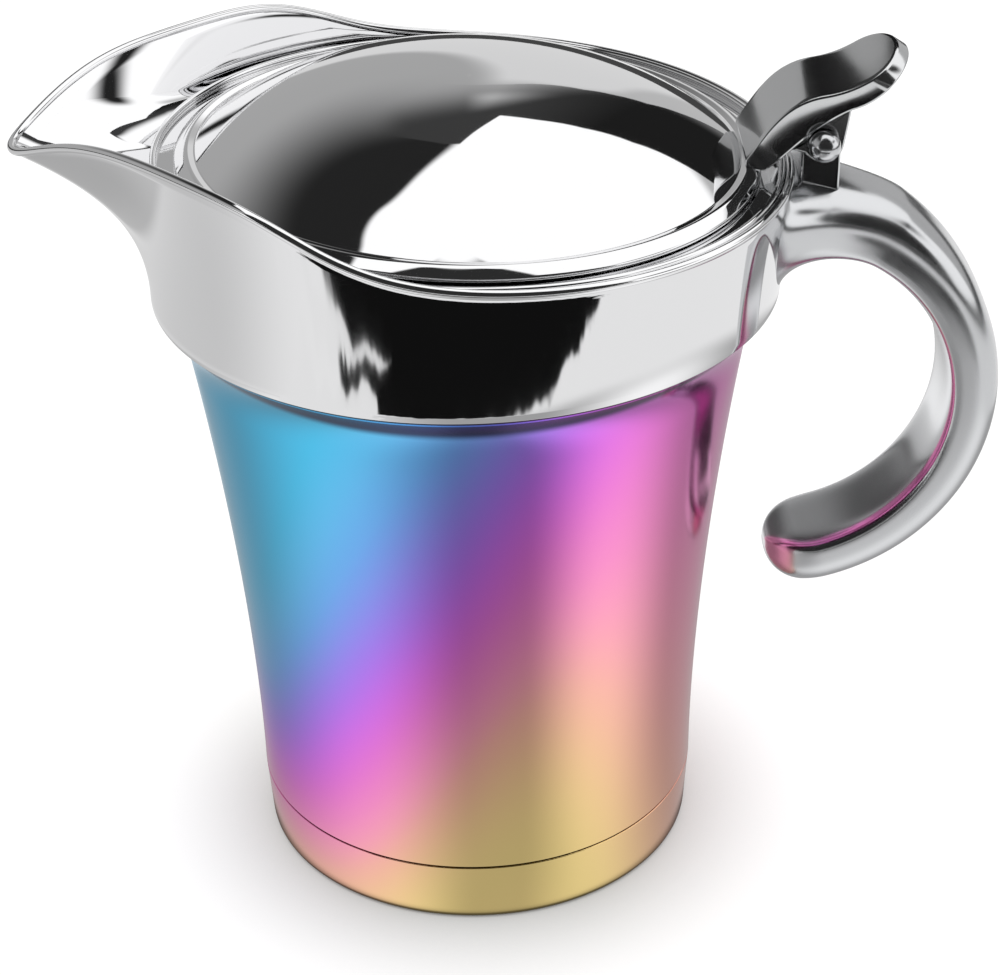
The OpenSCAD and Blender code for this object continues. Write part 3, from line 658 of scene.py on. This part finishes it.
def along(path, share):
    # points at shares of the path's length
    step = np.concatenate([[0], np.cumsum(np.linalg.norm(np.diff(path, axis=0), axis=1))])
    return np.stack([np.interp(share * step[-1], step, path[:, k]) for k in range(2)], -1)


def lidSurface(r):
    # height of the lid's top side over the rim plane at radius r
    path = lidTop()
    return np.interp(r, path[:, 0], path[:, 1], right=-20)


def makeLever():
    # a strap between two curves, with a rounded section, a half elliptical free end and two ears
    t = np.linspace(0, 1, 60)
    top = np.vstack([bezier(lever["topRise"], t), bezier(lever["topEnd"], t)[1:]])
    bottom = np.vstack([lever["sole"], bezier(lever["underRise"], t), bezier(lever["underEnd"], t)[1:]])
    e, half, foot = lever["edge"], lever["half"], lever["footRound"]
    length = float(np.sum(np.linalg.norm(np.diff(top, axis=0), axis=1)))
    # section round the strap: place across (-1 to 1), inset from the outline, face (0 top, 1 bottom),
    # inset from the face; its corners are quarter circles
    c = np.radians(np.linspace(0, 90, 7))
    rising = np.stack([np.ones(7), 1 - np.cos(c), np.zeros(7), 1 - np.sin(c)], -1)
    flat = np.stack([np.linspace(0.9, -0.9, 13), np.ones(13), np.zeros(13), np.zeros(13)], -1)
    topHalf = np.vstack([rising, flat, rising[::-1] * [-1, 1, 1, 1]])
    spec = np.vstack([topHalf, topHalf[::-1] + [0, 0, 1, 0]])
    place, inset, face, sunk = (spec[:, k][None, :] for k in range(4))
    # rows along the strap: straight part, then an elliptical end with equal steps of its angle
    start = 1 - lever["round"] / length
    head = np.radians(np.linspace(0, 90, 7))
    turn = np.radians(np.linspace(0, 89.6, 60))[:, None]
    straight = np.linspace(0, start, 130)[1:-1, None]
    shrink = np.concatenate([[foot], foot * (1 - np.sin(head)), np.zeros(128 + 60)])[:, None]
    share = np.concatenate([np.zeros((1, spec.shape[0])),
                            foot / length * (1 - np.cos(head))[:, None] + 0 * place,
                            straight + 0 * place,
                            start + (lever["round"] - e * inset) / length * np.sin(turn)])
    width = np.concatenate([np.ones((136, 1)), np.cos(turn)]) * (half - e * inset) - shrink
    upper, lower = along(top, share), along(bottom, share)
    across = unit(lower - upper)
    flip = 1 - 2 * face
    xz = upper * (1 - face[..., None]) + lower * face[..., None]
    xz = xz + across * ((sunk * e + shrink) * flip)[..., None]
    points = np.stack([xz[..., 0] + hinge["x"], place * width, xz[..., 1] + hinge["z"]], -1)
    # the foot is cut by the lid's own surface
    c, s = math.cos(math.radians(mouth["tilt"])), math.sin(math.radians(mouth["tilt"]))
    xm, zm = points[..., 0] - mouth["shift"], points[..., 2] - mouth["z"]
    local = np.stack([c * xm - s * zm, points[..., 1], s * xm + c * zm], -1)
    r = np.hypot(local[..., 0], local[..., 1])
    clear = np.maximum(local[..., 2], lidSurface(r) + lever["gap"])
    local[..., 2] = np.where(r < lid["r"] + lever["gap"], clear, local[..., 2])
    strap = gridShell(onRim(local), capRows=True)
    earTurn = np.radians(np.linspace(*lever["earTurn"], 40))
    earRound = np.stack([hinge["earR"] * np.cos(earTurn), hinge["earR"] * np.sin(earTurn)], -1)
    ear = np.vstack([lever["earFoot"], earRound, lever["earTop"]])
    ear = along(np.vstack([ear, ear[:1]]), np.linspace(0, 1, 140))[:-1]
    cheeks = [moved(gridShell(plate(ear, y0, y1, hinge["edge"]), capRows=True), toAxis)
              for y0, y1 in ((hinge["earIn"], hinge["earOut"]), (-hinge["earOut"], -hinge["earIn"]))]
    addPiece("thumb_lever_polished", [strap] + cheeks, "lid", ["thumb_lever"], softSteel)


# lid
lid = {"r": 52.0, "bead": 0.6, "domeR": 48.2, "foot": 1.5, "height": 13.0, "power": 2.6, "sheet": 1.0,
       "panR": 44.0, "panDrop": 3.0, "panLap": 2.0, "panPole": 0.5,
       # corners of the cove and the flange: out from the dome, up from its foot, radius
       "cove": (0.15, -0.05, 0.55), "flange": (1.75, 0.3, 1.3), "slope": (-0.22, 0.47)}


def domeHeight(r):
    # highest in the middle, and falls with the share of the radius to the power 2.6
    return lid["foot"] + lid["height"] * (1 - (r / lid["domeR"]) ** lid["power"])


def lidTop():
    # dome, round cove, flange and its outer slope, then over the rolled edge
    r = lid["domeR"] * np.sin(np.radians(np.linspace(0, 88.5, 90)))
    dome = np.stack([r, domeHeight(r)], -1)
    bends = [(lid["domeR"] + out, lid["foot"] + up, bend) for out, up, bend in (lid["cove"], lid["flange"])]
    flange = roundedPath([(*dome[-1], 0), *bends, (lid["r"] + lid["slope"][0], lid["slope"][1], 0)],
                         closed=False, steps=10)
    turn = np.radians(np.linspace(51.2, -60, 22))
    edge = np.stack([lid["r"] - lid["bead"] + lid["bead"] * np.cos(turn), lid["bead"] * np.sin(turn)], -1)
    return np.vstack([dome, flange[1:-1], edge])


def makeLid():
    # two turned profiles on the tilted rim: the dome's sheet, and a flat pan with a rounded rim
    top = lidTop()
    top[0, 0] = body["pole"]
    turn = np.radians(np.linspace(-70, -160, 14))
    roll = np.stack([lid["r"] - lid["bead"] + lid["bead"] * np.cos(turn), lid["bead"] * np.sin(turn)], -1)
    r = (lid["domeR"] - 0.6) * np.sin(np.radians(np.linspace(89, 0, 60)))
    inner = np.stack([r, domeHeight(r * lid["domeR"] / (lid["domeR"] - 0.6)) - lid["sheet"]], -1)
    inner[-1, 0] = body["pole"]
    profile = np.vstack([top, roll, [[lid["r"] - 1.5, 0.35], [lid["domeR"] + 0.6, 0.62]], inner])
    shell = moved(revolved(profile, closed=False, steps=384), onRim)
    addPiece("lid_dome_polished", [shell], "lid", ["lid_dome"], mirrorSteel)
    seat, s, drop = lid["foot"] + 0.1 - lid["sheet"] - 0.3, body["sheet"], lid["panDrop"]
    lap, pole = lid["domeR"] + lid["panLap"], lid["panPole"]
    pan = roundedPath([(pole, -drop, 0), (lid["panR"], -drop, 2.0), (lid["domeR"] + 0.6, seat - s, 1.0),
                       (lap, seat - s, 0.3), (lap, seat, 0.3), (lid["domeR"], seat, 0.8),
                       (lid["panR"] - 0.6, s - drop, 2.5), (pole, s - drop, 0)], closed=False)
    shell = moved(revolved(pan, closed=False), onRim)
    addPiece("lid_pan_polished", [shell], "lid", ["lid_pan"], innerSteel)


makeBody()
makeLiner()
makeRing()
makeCollar()
makeTray()
makeHandle()
makeHinge()
makeLever()
makeLid()
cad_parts["bottom_disc"].data.materials.clear()
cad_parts["bottom_disc"].data.materials.append(innerSteel)
print("pieces made")

# floor, light and camera
# panels seen in the reflections: note, turn and half width round, low and high, how far the corners
# are rounded each way, softness, then a height and its brightness, twice, and the lean per degree
studio = {"plain": 1.23, "paperLight": 0.85, "panels": [
    ("grey wall on the right", 59, 44, -5, 27, 14, 6, 0.3, 0, 0.54, 1, 0.54, 0),
    ("pale screen behind", 92, 18, -30, 23, 8, 8, 0.15, 0, 0.75, 1, 0.75, 0),
    ("dark bar high on the right", -12, 15, 27, 40, 12, 8, 0.6, 0, 0.02, 1, 0.02, 0),
    ("dark wall left behind", 150, 63, -5, 70, 45, 28, 0.03, 26, 0.43, 55, 0.02, 0.1),
    ("dark camera side", -90, 58, -2, 83, 17, 20, 0.1, 0, 0.03, 1, 0.03, 0),
    ("dark gap at the floor's edge", 0, 400, -13, -2, 4, 0.1, 0.3, 0, 0.06, 1, 0.06, 0)]}
floorLook = {
    "radius": 0.75, "points": 96, "paper": "#b4b4b4", "glow": 0.72, "contact": 0.023, "shine": 0.92,
    "middle": (0.0, -0.028, 0.0),
    "ragged": (20.0, 22.0, 42),          # degrees round, millimetres out, folds per metre
    # glow levels seen only in reflections: painted pools of light, and painted shade round and under the foot
    "near": [
        ("darker floor round the foot", 0, 400, -9, 236, 4, 6, 0.9, 0, 0.46, 1, 0.46, 0),
        ("front of the table", -80, 50, -9, 236, 40, 6, 0.9, 40, 0.55, 112, 0.4, 0),
        ("left pool of light", -153, 32, -9, 236, 31, 6, 0.95, 0, 0.98, 1, 0.98, 0),
        ("right pool of light", -21, 23, -9, 236, 22, 6, 0.95, 42, 0.88, 105, 1.1, 0),
        ("back pool of light", 92, 18, -9, 236, 18, 6, 0.95, 0, 1.2, 1, 1.2, 0),
        ("shadow under the foot", 0, 400, -9, 42.6, 4, 1.2, 0.9, 0, 0.1, 1, 0.1, 0)],
    "far": [("floor behind on the left", 150, 50, 236, 900, 25, 60, 0.8, 0, 0.62, 1, 0.62, 0)],
    # a black flag painted into the floor's glow, seen only in reflections
    "flag": [
        ("black flag before the table", -83, 44, 249, 440, 36, 60, 0.04, 0, 0.006, 1, 0.006, 0),
        ("paper past the flag's left end", -127, 18, 200, 274, 14, 7, 0.06, 0, 0.9, 1, 0.9, 0),
        ("tear in the flag's left end", -124, 18, 278, 283, 18, 2.5, 0.1, 0, 0.9, 1, 0.9, 0)]}


def turnOf(tree, place):
    # degrees round from +x, and the parts of the vector
    axes = addNode(tree, "SeparateXYZ", links={0: place})
    turn = addNode(tree, "Math.ARCTAN2", links={0: axes.outputs[1], 1: axes.outputs[0]})
    return addNode(tree, "Math.DEGREES", links={0: turn}), axes


def paintPanels(tree, turn, rise, panels, light):
    # each panel is a rounded rectangle in turn and rise: distance past its straight part in
    # shares of the corner, then a smooth step over its edge; light is a number or a node
    for note, centre, half, low, high, cornerU, cornerV, soft, at, dim, atHigh, dimHigh, lean in panels:
        u = addNode(tree, "Math.SUBTRACT", {1: centre}, {0: turn})
        u = addNode(tree, "Math.WRAP", {1: 180.0, 2: -180.0}, {0: u})
        v = addNode(tree, "Math.SUBTRACT", {1: (high + low) / 2}, {0: rise})
        slant = addNode(tree, "Math.MULTIPLY_ADD", {1: -lean}, {0: u, 2: rise})
        past = []
        for item, reach, corner in ((u, half, cornerU), (v, (high - low) / 2, cornerV)):
            item = addNode(tree, "Math.ABSOLUTE", links={0: item})
            item = addNode(tree, "Math.MULTIPLY_ADD", {1: 1 / corner, 2: 1 - reach / corner}, {0: item})
            past.append(addNode(tree, "Math.MAXIMUM", {1: 0.0}, {0: item}))
        both = addNode(tree, "CombineXYZ", links={0: past[0], 1: past[1]})
        far = addNode(tree, "VectorMath.LENGTH", links={0: both})
        mask = addNode(tree, "MapRange", {**smoothStep, "From Min": 1 - soft, "From Max": 1 + soft,
                                          "To Min": 1.0, "To Max": 0.0}, {"Value": far.outputs["Value"]})
        shade = addNode(tree, "MapRange", {**smoothStep, "From Min": at, "From Max": atHigh,
                                           "To Min": dim, "To Max": dimHigh}, {"Value": slant})
        settings, links = {"data_type": "FLOAT", "label": note}, {0: mask, 3: shade}
        (settings if isinstance(light, float) else links)[2] = light
        light = addNode(tree, "Mix", settings, links)
    return light


turn = np.linspace(0, 2 * math.pi, floorLook["points"] + 1)[:-1]
rim = [(floorLook["radius"] * math.cos(a), floorLook["radius"] * math.sin(a), 0) for a in turn]
disc = bpy.data.meshes.new("floor")
disc.from_pydata(rim, [], [tuple(range(len(rim)))])
floor = bpy.data.objects.new("floor", disc)
bpy.context.scene.collection.objects.link(floor)

# pale paper that keeps the shadow, with a glow for the camera that lifts it to white and fades by ambient
# occlusion, a painted contact shadow;
# reflections see a painted glow: pools of light, darker floor round and under the foot, and a crumpled black
# flag lying in front of the table
floorPaint, tree = newMaterial("floor_white_paper")
place = addNode(tree, "TexCoord").outputs["Object"]
turnFloor, axes = turnOf(tree, place)
out = addNode(tree, "VectorMath.LENGTH", links={0: place})
out = addNode(tree, "Math.DIVIDE", {1: mm}, {0: out.outputs["Value"]})
offMiddle = addNode(tree, "VectorMath.SUBTRACT", {1: floorLook["middle"]}, {0: place})
shine = paintPanels(tree, turnOf(tree, offMiddle)[0], out, floorLook["near"], floorLook["shine"])
shine = paintPanels(tree, turnFloor, out, floorLook["far"], shine)
raggedTurn, raggedOut, folds = floorLook["ragged"]
fold = addNode(tree, "TexNoise", {"Scale": folds, "Detail": 2.0}, {"Vector": place})
fold = addNode(tree, "SeparateColor", links={0: fold.outputs["Color"]})
tornTurn = addNode(tree, "Math.MULTIPLY_ADD", {1: raggedTurn}, {0: fold.outputs[0], 2: turnFloor})
tornOut = addNode(tree, "Math.MULTIPLY_ADD", {1: raggedOut}, {0: fold.outputs[1], 2: out})
shine = paintPanels(tree, tornTurn, tornOut, floorLook["flag"], shine)
path = addNode(tree, "LightPath")
paper = addNode(tree, "BsdfDiffuse", {"Color": linear(floorLook["paper"])})
# painted shadow: the camera's glow fades by ambient occlusion close to the foot, on top of the paper's own
# shadow
paintedContactShadow = addNode(tree, "AmbientOcclusion", {"samples": 16, "Distance": floorLook["contact"]})
power = addNode(tree, "Math.MULTIPLY", {1: floorLook["glow"]}, {0: path.outputs["Is Camera Ray"]})
power = addNode(tree, "Math.MULTIPLY", links={0: power, 1: paintedContactShadow.outputs["AO"]})
glow = addNode(tree, "Emission", links={"Strength": power})
both = addNode(tree, "AddShader", links={0: paper, 1: glow})
shown = addNode(tree, "Emission", links={"Strength": shine})
seen = addNode(tree, "MixShader", links={0: path.outputs["Is Glossy Ray"], 1: both, 2: shown})
addNode(tree, "OutputMaterial", links={"Surface": seen})
floor.data.materials.append(floorPaint)
print("floor made")

# black card close behind the boat, seen only by reflections: an upper part for the lid, which fades
# away to the left, sooner low down, and a soft round patch for the inside of the handle
cardLook = {"y": 0.09, "split": 0.14, "lean": 1.1, "fade": (0.210, 0.262), "end": (-0.041, -0.02),
            "levelAt": (0.02, 0.065), "level": (0.05, 0.014), "lowLevel": 0.1,
            "patchAt": (0.015, 0.1), "patchHalf": (0.044, 0.04), "patchEdge": (1.0, 0.35),
            "upper": [(83, 143), (141, 206), (118, 220), (90, 233), (60, 237), (35, 235),
                      (18, 231), (10, 262), (3, 292), (-6, 292), (-42, 262), (-42, 197),
                      (16, 195), (42, 190), (54, 184), (65, 176), (74, 162)],
            "lower": [(-30, 60), (60, 60), (60, 139), (-30, 139)]}
card = bpy.data.meshes.new("black_card")
upperCount, lowerCount = len(cardLook["upper"]), len(cardLook["lower"])
card.from_pydata([(x * mm, cardLook["y"], z * mm) for x, z in cardLook["upper"] + cardLook["lower"]], [],
                 [tuple(range(upperCount)), tuple(range(upperCount, upperCount + lowerCount))])
cardPiece = bpy.data.objects.new("black_card", card)
bpy.context.scene.collection.objects.link(cardPiece)
# black velvet: gives back almost no light
cardCloth, tree = newMaterial("card_black_velvet")
spot = addNode(tree, "TexCoord").outputs["Object"]
axes = addNode(tree, "SeparateXYZ", links={0: spot})
slant = addNode(tree, "Math.MULTIPLY_ADD", {1: cardLook["lean"]}, {0: axes.outputs[2], 2: axes.outputs[0]})
fade = addNode(tree, "MapRange", {**smoothStep, "From Min": cardLook["fade"][0],
                                  "From Max": cardLook["fade"][1]}, {"Value": slant})
end = addNode(tree, "MapRange", {**smoothStep, "From Min": cardLook["end"][0],
                                 "From Max": cardLook["end"][1]}, {"Value": axes.outputs[0]})
fade = addNode(tree, "Math.MULTIPLY", links={0: fade, 1: end})
lower = addNode(tree, "Math.LESS_THAN", {1: cardLook["split"]}, {0: axes.outputs[2]})
# distance from the patch's middle in shares of its half sizes
patchX, patchZ = cardLook["patchAt"]
halfX, halfZ = cardLook["patchHalf"]
patch = addNode(tree, "VectorMath.MULTIPLY_ADD", {1: (1 / halfX, 0, 1 / halfZ),
                                                  2: (-patchX / halfX, 0, -patchZ / halfZ)}, {0: spot})
patch = addNode(tree, "VectorMath.LENGTH", links={0: patch})
patch = addNode(tree, "MapRange",
                {**smoothStep, "From Min": cardLook["patchEdge"][0], "From Max": cardLook["patchEdge"][1]},
                {"Value": patch.outputs["Value"]})
cover = addNode(tree, "Mix", {"data_type": "FLOAT"}, {0: lower, 2: fade, 3: patch})
level = addNode(tree, "MapRange", {"From Min": cardLook["levelAt"][0], "From Max": cardLook["levelAt"][1],
                                   "To Min": cardLook["level"][0], "To Max": cardLook["level"][1]},
                {"Value": axes.outputs[0]})
shade = addNode(tree, "Mix", {"data_type": "FLOAT", 3: cardLook["lowLevel"]}, {0: lower, 2: level})
velvet = addNode(tree, "Emission", links={"Strength": shade})
clear = addNode(tree, "BsdfTransparent")
edge = addNode(tree, "MixShader", links={0: cover, 1: clear, 2: velvet})
addNode(tree, "OutputMaterial", links={"Surface": edge})
card.materials.append(cardCloth)
cardPiece.visible_camera = cardPiece.visible_diffuse = cardPiece.visible_shadow = False
print("card made")

# the world: plain light for the camera and the paper, panels for the reflections
world = bpy.data.worlds.new("studio")
bpy.context.scene.world = world
world.use_nodes = True
world.cycles.sampling_method = "NONE"
tree = world.node_tree
tree.nodes.clear()
turnSky, axes = turnOf(tree, addNode(tree, "TexCoord").outputs["Generated"])
rise = addNode(tree, "Math.ARCSINE", links={0: axes.outputs[2]})
rise = addNode(tree, "Math.DEGREES", links={0: rise})
light = paintPanels(tree, turnSky, rise, studio["panels"], studio["plain"])
path = addNode(tree, "LightPath")
plain = addNode(tree, "Math.MAXIMUM",
                links={0: path.outputs["Is Camera Ray"], 1: path.outputs["Is Diffuse Ray"]})
ambient = addNode(tree, "Math.MULTIPLY_ADD", {1: 1 - studio["paperLight"], 2: studio["paperLight"]},
                  {0: path.outputs["Is Camera Ray"]})
power = addNode(tree, "Mix", {"data_type": "FLOAT"}, {0: plain, 2: light, 3: ambient})
sky = addNode(tree, "Background", {"Color": (1, 1, 1, 1)}, {"Strength": power})
addNode(tree, "OutputWorld", links={"Surface": sky})
print("light made")

camera = {"place": (0.0, -449.507, 333.647), "forward": (0.01059942, 0.86292742, -0.50521671),
          "up": (0.02549368, 0.50484765, 0.86283192), "lens": 98.58, "film": 36, "near": 0.01}
cameraData = bpy.data.cameras.new("camera")
cameraData.lens = camera["lens"]
cameraData.sensor_width = camera["film"]
cameraData.clip_start = camera["near"]
cameraObject = bpy.data.objects.new("camera", cameraData)
bpy.context.scene.collection.objects.link(cameraObject)
forward, up = Vector(camera["forward"]), Vector(camera["up"])
right = forward.cross(up)
turnTo = Matrix((right, up, -forward)).transposed().to_4x4()
cameraObject.matrix_world = Matrix.Translation(Vector(camera["place"]) * mm) @ turnTo
bpy.context.scene.camera = cameraObject
bpy.context.scene.view_settings.view_transform = "Standard"
print("camera made")
